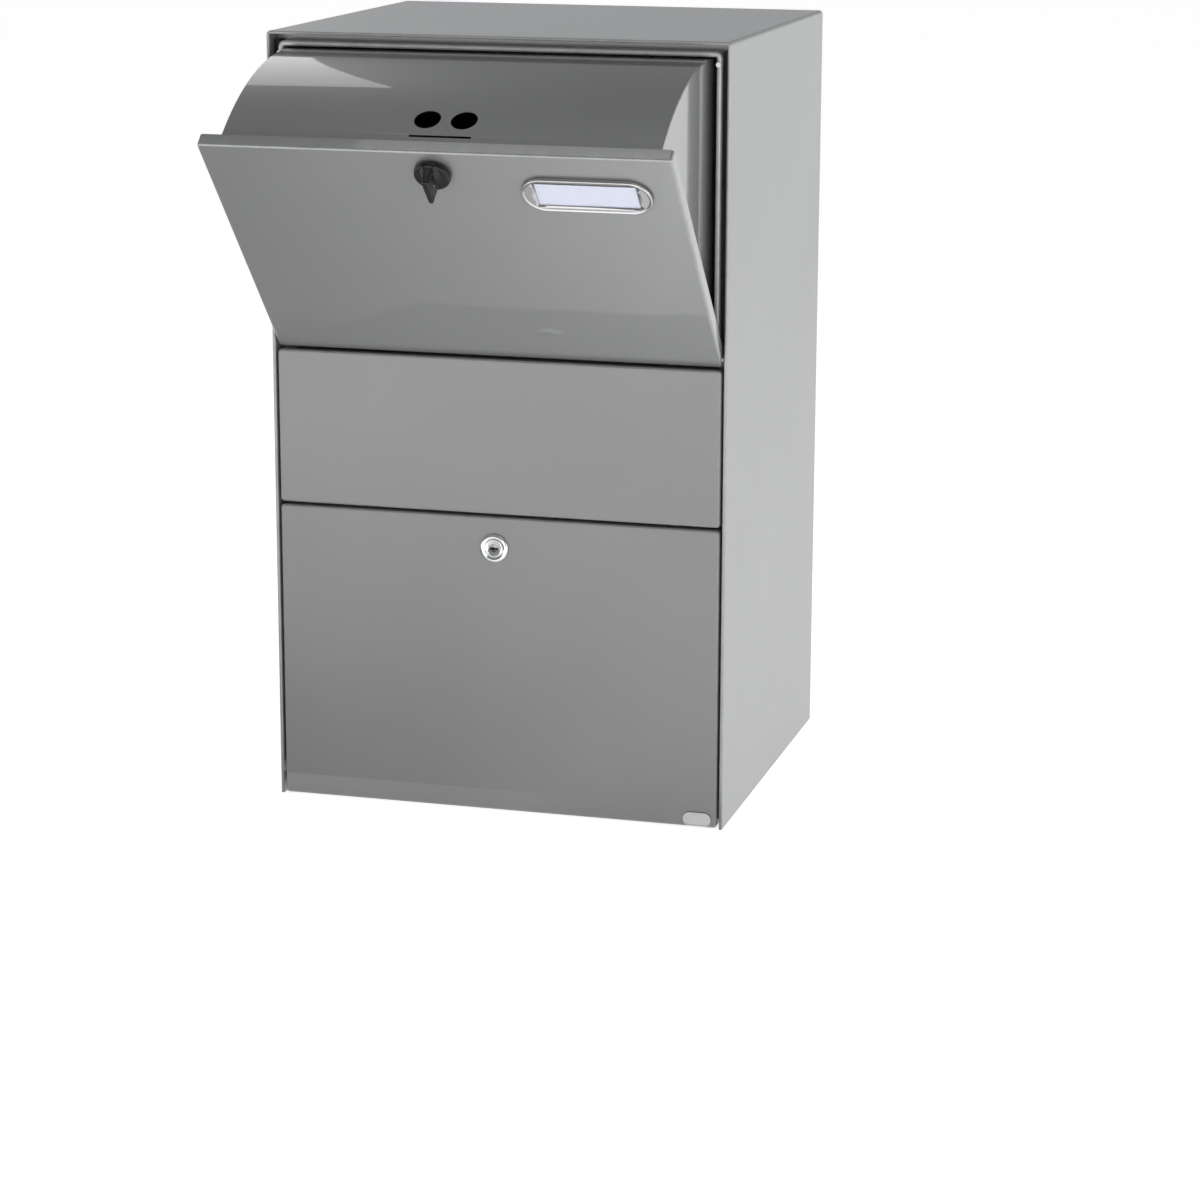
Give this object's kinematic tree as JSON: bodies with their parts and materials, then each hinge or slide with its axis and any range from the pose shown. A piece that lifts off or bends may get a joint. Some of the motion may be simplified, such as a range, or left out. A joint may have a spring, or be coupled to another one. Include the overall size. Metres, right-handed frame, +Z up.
{
  "type": "parcel drop mailbox",
  "caption": "Wall-fixed steel parcel mailbox with a tilt-out drop drum above, a fixed fascia and a lockable drop-down emptying door below.",
  "frame": {"origin": "centre of the base, under the floor panel", "axes": "+X to the right seen from the front, +Y from the front to the wall, +Z up"},
  "size_m": [0.42, 0.5706, 0.7],
  "materials": {
    "housing_paint": "semi-gloss silver-grey powder coat",
    "frame_paint": "semi-gloss silver-grey powder coat",
    "panel_paint": "fine textured silver-grey powder coat",
    "flap_paint": "smooth semi-gloss silver-grey paint",
    "inner_paint": "silver-grey primer coat",
    "black_rubber": "matt black rubber",
    "nylon": "white nylon",
    "zinc_steel": "zinc plated",
    "lock_chrome": "polished chrome",
    "badge_metal": "satin",
    "black_plastic": "satin black moulded plastic",
    "clear_plastic": "clear moulded plastic",
    "card": "blank pale card"
  },
  "bodies": {
    "housing": {"housing_shell": "housing_paint", "back_panel": "housing_paint", "floor_panel": "housing_paint", "front_frame": "frame_paint", "drum_rim": "frame_paint", "door_rim": "frame_paint", "drum_seals": "black_rubber", "door_seals": "black_rubber", "rim_bumpers": "nylon", "middle_fascia": "panel_paint", "fascia_studs": "zinc_steel", "fascia_nuts": "zinc_steel", "quadrant_guard": "inner_paint", "drum_hinge_brackets": "inner_paint", "drum_hinge_pins": "zinc_steel", "door_hinge_brackets": "inner_paint", "door_hinge_pins": "zinc_steel", "frame_rivets": "zinc_steel", "back_rivets": "zinc_steel", "door_keeper": "zinc_steel"},
    "drum": {"flap_pan": "flap_paint", "hood": "flap_paint", "cheek_left": "flap_paint", "cheek_right": "flap_paint", "baffle": "inner_paint", "cheek_rivets": "zinc_steel", "drum_washers": "nylon", "nameplate_holder": "clear_plastic", "name_card": "card", "card_window": "clear_plastic", "knob_bush": "black_plastic", "bush_nut": "zinc_steel", "bolt_guide": "inner_paint"},
    "knob_unit": {"knob": "black_plastic", "knob_shaft": "zinc_steel", "knob_cam": "zinc_steel", "cam_screw": "zinc_steel"},
    "bolt": {"latch_bolt": "zinc_steel"},
    "door": {"door_pan": "panel_paint", "door_stiffener": "inner_paint", "door_washers": "nylon", "lock_body": "lock_chrome", "lock_nut": "zinc_steel", "blank_badge": "badge_metal"},
    "lock_barrel": {"lock_plug": "lock_chrome", "lock_cam": "zinc_steel", "lock_cam_screw": "zinc_steel"}
  },
  "joints": [
    {"name": "drum_tilt", "type": "hinge", "parent": "housing", "child": "drum", "pos_m": [0, -0.1845, 0.4265], "axis": [1, 0, 0], "range_deg": [-43, 37]},
    {"name": "knob_turn", "type": "hinge", "parent": "drum", "child": "knob_unit", "pos_m": [-0.002, -0.35561, 0.60193], "axis": [0, -0.7314, -0.682], "range_deg": [0, 90]},
    {"name": "bolt_slide", "type": "slide", "parent": "drum", "child": "bolt", "axis": [0, -0.682, 0.7314], "range_m": [0, 0.00989]},
    {"name": "door_swing", "type": "hinge", "parent": "housing", "child": "door", "pos_m": [0, -0.1835, 0.0075], "axis": [1, 0, 0], "range_deg": [0, 88]},
    {"name": "lock_turn", "type": "hinge", "parent": "door", "child": "lock_barrel", "pos_m": [-0.002, -0.19, 0.246], "axis": [0, 1, 0], "range_deg": [0, 90]}
  ],
  "couplings": [
    {"joint": "knob_turn", "follows": "bolt_slide", "rad_per_m": 158.8}
  ]
}
